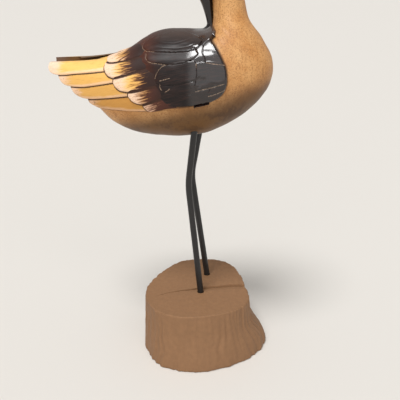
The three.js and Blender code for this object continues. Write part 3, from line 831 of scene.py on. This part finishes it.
def ringsAlong(path, radius, sides):
    # round sections square to a path that mostly climbs
    ahead = np.gradient(path, axis=0)
    ahead /= np.linalg.norm(ahead, axis=1, keepdims=True)
    across = np.cross(ahead, [0.0, 1.0, 0.0])
    across /= np.linalg.norm(across, axis=1, keepdims=True)
    other = np.cross(ahead, across)
    turn = np.arange(sides) / sides * 2 * pi
    reach = np.broadcast_to(radius, (len(path), sides))[..., None]
    return path[:, None] + reach * (
        across[:, None] * np.cos(turn)[None, :, None] + other[:, None] * np.sin(turn)[None, :, None])


def rodLeg(name):
    top, upward, knee, downward, bottom = rodPath(name, -rods["clearance"])
    w = np.linspace(0, 1, 30)[:, None]
    bend = (1 - w) ** 2 * downward + 2 * w * (1 - w) * knee + w ** 2 * upward
    path = evenly(np.vstack([bottom, bend, top]), 0.9)
    seed = 60 + rods[name]["side"]
    turn = np.arange(rods["sides"]) / rods["sides"] * 64 / 4
    height = path[:, 2:3]
    uneven = 0.05 * softNoise(turn[None, :], height / 9, seed) + 0.02 * softNoise(turn[None, :] * 2, height / 2, seed + 3)
    radius = rods["radius"] - 0.06 + uneven
    fromEnd = np.minimum(np.arange(len(path)), np.arange(len(path))[::-1])[:, None] * 0.9
    radius = radius - 0.5 * roundOver(fromEnd, 1.0)
    return tube(name + "_leg_rod", ringsAlong(path, radius, rods["sides"]))


def rodHole(name, inner, outer):
    path = evenly(np.vstack([inner, outer]), 1.0)
    turn = np.arange(48)
    radius = rods["radius"] + rods["clearance"] + 0.05 * softNoise(turn[None, :] * 64 / 48 * 6, path[:, 2:3] / 2, 71)
    rings = ringsAlong(path, radius, 48)
    # the hole's walls are marked to take the dark line of painted shade on the bird
    return tube("hole", rings, gridMarks(rings.shape[:2], zone=(0, 0, 0), edge=(9, 0.4, 2), line=(9, 9, 9)))


# Bird: putting it together

def carveBird():
    coverings = [outlineOf(outline) for outline in feathers["scallops"]]
    longOnes = [outlineOf(outline) for outline in feathers["primaries"]]
    solids = []
    for side in (-1, 1):
        for index in range(len(longOnes)):
            solids.append(primaryFeather(index, side, longOnes[:index] + coverings))
        for index in range(len(coverings)):
            solids.append(scallopFeather(index, side, coverings[:index]))
    print("feathers carved:", len(solids))
    wingEdge = curveThrough(mantle["front"], np.linspace(0, 1, 60))
    wingEdge = np.vstack([[(-76, 199), (-68, 193.8), (-46, 193.6), (-28, 194.2), (-12, 196.9)], wingEdge])
    rim = onSkin(wingTable, wingEdge[:, 0], wingEdge[:, 1], 0.3, -1)
    mirrored = rim[::-1] * [1, -1, 1] + [0, 2 * midY, 0]
    body = bodyCore(evenly(np.vstack([rim, mirrored]), 1.2))
    combine(body, [mantleLayer(), billTaper(), eyeDome(-1), eyeDome(1), *solids], "UNION")
    holes = []
    for name in ("right", "left"):
        top, upward = rodPath(name, 0)[:2]
        holes.append(rodHole(name, upward, top))
    combine(body, holes, "DIFFERENCE")
    print("bird joined:", len(body.data.polygons), "faces")
    return body


# Finishes

birdPaint = {
    "tan": tone(196, 138, 80),
    "tanPale": tone(216, 164, 106),
    "tanDeep": tone(150, 98, 54),
    "speckle": tone(112, 70, 40),
    "olive": tone(100, 70, 38),
    "oliveDeep": tone(72, 48, 26),
    "plumShade": tone(96, 62, 48),
    "black": tone(20, 12, 11),
    "brownBlack": tone(48, 29, 24),
    "sheenGrey": tone(84, 70, 64),
    "maroon": tone(78, 40, 28),
    "rust": tone(160, 92, 50),
    "yellow": tone(252, 200, 112),
    "ochre": tone(176, 118, 50),
    "cream": tone(250, 214, 184),
    "line": tone(56, 30, 18),
    "paleWearAndGlint": tone(190, 160, 134),
    "slotShade": tone(86, 52, 30),
}


def paintedWood():
    finish = Finish("painted_wood")
    paint = birdPaint
    place = finish.place()
    x, y, z = (finish.part(place, axis) for axis in "XYZ")
    dark, feather, gloss = (finish.part(finish.mark("zone"), axis) for axis in "XYZ")
    fromTip, across, number = (finish.part(finish.mark("spot"), axis) for axis in "XYZ")
    fromEdge, shade, rootStart = (finish.part(finish.mark("edge"), axis) for axis in "XYZ")
    line = finish.mark("line")
    depth, tipLength, speckled = (finish.part(line, axis) for axis in "XYZ")
    fromMiddle = (y - midY).math("ABSOLUTE")

    broad = finish.noise(place, 0.06, 3.0)
    fine = finish.noise(place, 0.95, 2.0)
    finer = finish.noise(place, 2.3, 2.0)

    # body: golden tan, paler streaks up the neck, stippled all over, plum-brown painted shade low on the breast front,
    # olive below and darker there as painted shade
    streaks = finish.noise(finish.scaled(place, (1.0, 1.0, 0.15)), 0.5, 4.0)
    body = finish.mix(finish.step(broad, 0.3, 0.7), paint["tan"], paint["tanPale"])
    body = finish.mix(finish.step(streaks, 0.52, 0.72) * 0.45, body, paint["tanPale"])
    body = finish.mix(finish.step(streaks, 0.46, 0.3) * 0.4, body, paint["tanDeep"])
    body = finish.mix(finish.step(fine, 0.5, 0.66) * 0.55, body, paint["tanDeep"])
    body = finish.mix(finish.step(finer, 0.56, 0.7) * 0.6, body, paint["speckle"])
    rear = finish.step(x + broad * 20, 26, 64)
    # painted shade: plum-brown over the lower front of the breast
    plumShade = finish.step(z - x * 0.35 + broad * 14, 214, 192) * finish.step(x, 0, 30)
    body = finish.mix(plumShade * 0.7, body, paint["plumShade"])
    # olive belly: partly its own olive tone, partly painted shade darkening the underside
    low = finish.step(z + broad * 12 - x * 0.25, 212, 194)
    olive = finish.mix(finish.step(broad + (streaks - 0.5) * 0.6, 0.4, 0.65), paint["olive"], paint["oliveDeep"])
    olive = finish.mix(finish.step(finer, 0.5, 0.7) * 0.35, olive, paint["speckle"])
    body = finish.mix(low * 0.95, body, olive)
    strip = finish.step(x, -50, -56) * finish.step(z, 220, 222)
    # painted shade on the floor of the slot between the wing tips
    stripTone = finish.mix(finish.step(x + (fine - 0.5) * 3, -72, -74), paint["yellow"], paint["slotShade"])
    stripTone = finish.mix(finish.step(x + (fine - 0.5) * 3, -66, -63), stripTone, paint["line"])
    body = finish.mix(strip, body, stripTone)
    # painted shade: a dark line along the rim of the wing layer and inside the rod holes
    body = finish.mix(finish.step(shade, 1.3, 0.1) * 0.85, body, paint["line"])

    # mantle and coverts: near-black, brushed along the feathers, with a painted grey sheen on top
    along = finish.vector(fromTip * 0.1, (across + fromTip * 0.25) * 1.2, 0.0)
    brushed = finish.noise(along, 1.0, 5.0, 0.65)
    mantleTone = finish.mix(finish.step(brushed, 0.4, 0.7), paint["black"], paint["brownBlack"])
    # painted sheen: grey over the top of the back, where it faces the light
    mantleTone = finish.mix(finish.step(z, 238, 247) * 0.75, mantleTone, paint["sheenGrey"])
    rearward = finish.step(fromTip + (brushed - 0.5) * 30, -22, -36)
    mantleTone = finish.mix(rearward * 0.8, mantleTone, paint["maroon"])
    mantleTone = finish.mix(rearward * finish.step(brushed, 0.56, 0.68) * 0.7, mantleTone, paint["rust"])
    # pale lines along the carved edges: worn paint with a painted highlight
    vectorLength = finish.node(
        "ShaderNodeVectorMath", {"operation": "LENGTH"}, {0: finish.scaled(line, (1, 1, 0))}, output="Value")
    paleLineDistance = vectorLength.math("MAXIMUM", finish.part(line, "Z") - 0.35)
    paleWearAndGlint = finish.step(paleLineDistance + (fine - 0.4) * 0.9, 0.5, 0.15) * finish.step(finer, 0.35, 0.6)
    mantleTone = finish.mix(paleWearAndGlint * 0.75, mantleTone, paint["paleWearAndGlint"])

    # feathers: pale speckled tips, yellow brushed in, dark streaked roots on the scallops
    along = finish.vector(fromTip * 0.1, across * 1.1, number * 7.3)
    stroke = finish.noise(along, 1.0, 4.0, 0.7)
    hair = finish.noise(finish.vector(fromTip * 0.16, across * 2.6, number * 3.1), 1.0, 3.0, 0.6)
    wander = (stroke - 0.5) * 26
    # deeper ochre on the lower feathers: partly their own tone, partly painted shade
    yellow = finish.mix(depth, paint["yellow"], paint["ochre"])
    cream = finish.mix(depth * 0.55, paint["cream"], paint["ochre"])
    tip = finish.step(fromTip - tipLength + wander * 0.6, 6, -2)
    margin = finish.step(fromEdge + (stroke - 0.5) * 3, 2.6, 1.0) * 0.65
    featherTone = finish.mix(tip.math("MAXIMUM", margin), yellow, cream)
    featherTone = finish.mix(finish.step(hair, 0.52, 0.7) * 0.35, featherTone, paint["ochre"])
    rust = finish.step(fromTip - rootStart + wander, -5, 1)
    root = finish.step(fromTip - rootStart + wander * 1.3 + (hair - 0.5) * 14, -2, 4)
    featherTone = finish.mix(rust * 0.6, featherTone, paint["rust"])
    featherTone = finish.mix(root, featherTone, finish.mix(finish.step(fromTip, 12, 26), paint["maroon"], paint["brownBlack"]))
    specks = finish.step(fine, 0.56, 0.68) * speckled * finish.step(fromTip, 12, 3)
    featherTone = finish.mix(specks * 0.7, featherTone, paint["speckle"])
    # dark line under each covering feather's free edge: dark groove paint, deepened as painted shade
    under = finish.step(shade + (fine - 0.5) * 0.6, 1.15, 0.35)
    featherTone = finish.mix(under, featherTone, paint["line"])
    # painted shade on the wing tips' inner faces, inside the slot
    slot = finish.step(fromMiddle, 7.5, 7.0) * finish.step(x, -50, -56)
    featherTone = finish.mix(slot * 0.9, featherTone, paint["slotShade"])

    colour = finish.mix(dark, body, mantleTone)
    colour = finish.mix(feather, colour, featherTone)
    colour = finish.mix(gloss, colour, paint["black"])

    relief = fine * 0.6 + finer * 0.4
    relief = relief * (1 - dark) * (1 - gloss) + brushed * dark * 0.7
    shoulder = dark * finish.step(x + (fine - 0.5) * 2, -6, 0)
    roughness = 0.46 + (broad - 0.5) * 0.2 - dark * 0.04 - shoulder * 0.22 - gloss * 0.3
    return finish.surface({
        "Base Color": colour,
        "Roughness": roughness,
        "Specular IOR Level": 0.3,
        "Normal": finish.bump(relief, 0.00012, 0.5),
        "Coat Weight": shoulder * 0.9 + gloss * 0.6,
        "Coat Roughness": 0.12,
    })


def plainFinish(name, colour, roughness, metallic=0.0):
    finish = Finish(name)
    place = finish.place()
    broad = finish.noise(place, 0.3, 4.0)
    return finish.surface({
        "Base Color": finish.mix(broad * 0.3, colour, tone(0, 0, 0)),
        "Roughness": roughness,
        "Metallic": metallic,
    })


bird = carveBird()
bird.name = "carved_bird"
finishMesh(bird, paintedWood(), 42)
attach(bird, "root")
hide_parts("bird")

for legName in ("right", "left"):
    leg = rodLeg(legName)
    finishMesh(leg, plainFinish("black_rod_" + legName, tone(28, 26, 26), 0.4), 40)
    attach(leg, "root")
    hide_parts(legName + "_leg")
print("legs made")


# Log

logShape = {
    "top": [
        (-40, -20), (-39, 7), (-31, 27), (-21, 42), (-4, 48.5), (14, 47),
        (27, 34), (36, 9), (41, -17), (31, -34), (6, -47), (-22, -45),
    ],
    "foot": [
        (-42, -18), (-42, 8), (-34, 30), (-21, 45), (-4, 51), (15, 49),
        (33, 38), (50, 18), (54.5, -7), (38, -33), (7, -50.5), (-25, -45.5),
    ],
    "flareZ": 30.0,
    "flareStart": 0.12,
    "flarePower": 1.4,
    "around": 420,
    "upward": 84,
    "inward": 90,
    "crack": [(-30, -19.6), (-19, -12.5), (-8.5, -7.4), (6, -1.6), (17.5, 2.4), (28.5, 5.6), (40, 6.4)],
    "crackDepth": 5.0,
    "crackWidths": (0.5, 2.0),
}


def logOutline(turn, z):
    top = curveThrough(logShape["top"], turn, closed=True)
    foot = curveThrough(logShape["foot"], turn, closed=True)
    flareZ = logShape["flareZ"]
    start = logShape["flareStart"]
    above = start * (logHeight - z) / (logHeight - flareZ)
    rise = np.clip((flareZ - z) / flareZ, 0, 1)
    below = start + (1 - start) * np.sin(rise * pi / 2) ** logShape["flarePower"]
    share = np.where(z > flareZ, above, below)[..., None]
    return top + (foot - top) * share


def logSlice():
    turn = np.arange(logShape["around"]) / logShape["around"]
    z = np.linspace(0, logHeight, logShape["upward"])[:, None]
    outline = logOutline(turn[None, :], z)
    cells = turn[None, :] * 64
    sway = 0.9 * softNoise(cells * 0.5, z / 14, 31)
    fibre = 0.55 * softNoise(cells * 2 + sway, z / 26, 32) + 0.32 * softNoise(cells * 4 + 2 * sway, z / 14, 33)
    fibre += 0.3 * softNoise(cells, z / 30, 34)
    outward = outline / np.linalg.norm(outline, axis=-1, keepdims=True)
    worn = 0.9 * roundOver(z, 1.6) + 0.5 * roundOver(logHeight - z, 0.8)
    outline = outline + outward * (fibre - worn - 0.2)[..., None]
    side = np.concatenate([outline, np.broadcast_to(z[..., None], (*outline.shape[:2], 1))], -1)
    inward = np.linspace(1, 0.004, logShape["inward"])[1:, None]
    rim = side[-1, :, :2]
    flat = rim[None] * inward[..., None]
    crack = curveThrough(logShape["crack"], np.linspace(0, 1, 80))
    way, distance = toPath(flat, crack)
    front = way[..., 1] > 0
    sunk = 1.3 * np.where(front, 1 - ease(distance, 0.5, 6.5), 0) * ease(flat[..., 0], -34, 20)
    saw = 0.12 * softNoise(flat[..., 0] / 2.2, flat[..., 1] / 9, 35) + 0.08 * softNoise(flat[..., 0], flat[..., 1], 36)
    height = logHeight - 0.15 + saw * ease(1 - inward, 0, 0.02) - sunk * ease(1 - inward, 0, 0.04)
    top = np.concatenate([flat, height[..., None]], -1)
    rings = np.concatenate([side, top])
    marks = gridMarks(rings.shape[:2], zone=(0, 0, 0))
    return tube("log", rings, marks)


def crackWedge():
    share = np.linspace(0, 1, 90)
    line = curveThrough(logShape["crack"], share)
    ahead = np.gradient(line, axis=0)
    ahead /= np.linalg.norm(ahead, axis=1, keepdims=True)
    across = np.stack([-ahead[:, 1], ahead[:, 0]], -1)
    narrow, wide = logShape["crackWidths"]
    half = (narrow + (wide - narrow) * share) / 2 * (1 + 0.25 * softNoise(share * 30, share * 0, 37))
    depth = logShape["crackDepth"] * np.minimum(0.3 + 2 * share, 1)
    line = line + across * (0.25 * softNoise(share * 24, share * 0, 38))[:, None]
    corners = [(-1.3, 1.0), (1.3, 1.0), (0.0, None)]
    rings = []
    for sideways, rise in corners:
        flat = line + across * (half * sideways)[:, None]
        z = np.full(len(share), logHeight + 1.0) if rise else logHeight - depth
        rings.append(np.concatenate([flat, z[:, None]], -1))
    return tube("crack", np.stack(rings, 1), gridMarks((90, 3), zone=(1, 0, 0)))


log = logSlice()
cuts = [crackWedge()]
for legName in ("right", "left"):
    downward, bottom = rodPath(legName, 0)[3:]
    cuts.append(rodHole(legName, bottom, downward))
combine(log, cuts, "DIFFERENCE")
log.name = "log_slice"
finishMesh(log, plainFinish("log_wood", tone(150, 110, 75), 0.7), 50)
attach(log, "root")
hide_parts("log_base")
print("log made:", len(log.data.polygons), "faces")


# Floor and light

studio = {
    "floorReach": 60.0,
    "floor": tone(220, 216, 210),
    "sky": tone(235, 234, 232),
    "skyStrength": 0.5,
    # where each light comes from, how wide it looks in degrees and how strong it is
    "window": {"from": (-0.17, -0.38, 0.91), "width": 22, "strength": 2.2},
    "room": {"from": (0.25, -0.95, 0.45), "width": 70, "strength": 0.9},
}

floorMesh = bpy.data.meshes.new("floor")
reach = studio["floorReach"]
corners = [(-reach, -reach, 0), (reach, -reach, 0), (reach, reach, 0), (-reach, reach, 0)]
floorMesh.from_pydata(corners, [], [(0, 1, 2, 3)])
floor = bpy.data.objects.new("floor", floorMesh)
bpy.context.collection.objects.link(floor)
floorFinish = Finish("floor")
floorMesh.materials.append(floorFinish.surface({"Base Color": studio["floor"], "Roughness": 0.85}))

world = bpy.data.worlds.new("studio")
bpy.context.scene.world = world
world.use_nodes = True
background = world.node_tree.nodes["Background"]
background.inputs["Color"].default_value = studio["sky"]
background.inputs["Strength"].default_value = studio["skyStrength"]

for lightName in ("window", "room"):
    light = studio[lightName]
    lamp = bpy.data.lights.new(lightName, "SUN")
    lamp.energy = light["strength"]
    lamp.angle = radians(light["width"])
    lampObject = bpy.data.objects.new(lightName, lamp)
    lampObject.rotation_euler = Vector(light["from"]).to_track_quat("Z", "Y").to_euler()
    bpy.context.collection.objects.link(lampObject)

bpy.context.scene.view_settings.view_transform = "Standard"

print("studio set")
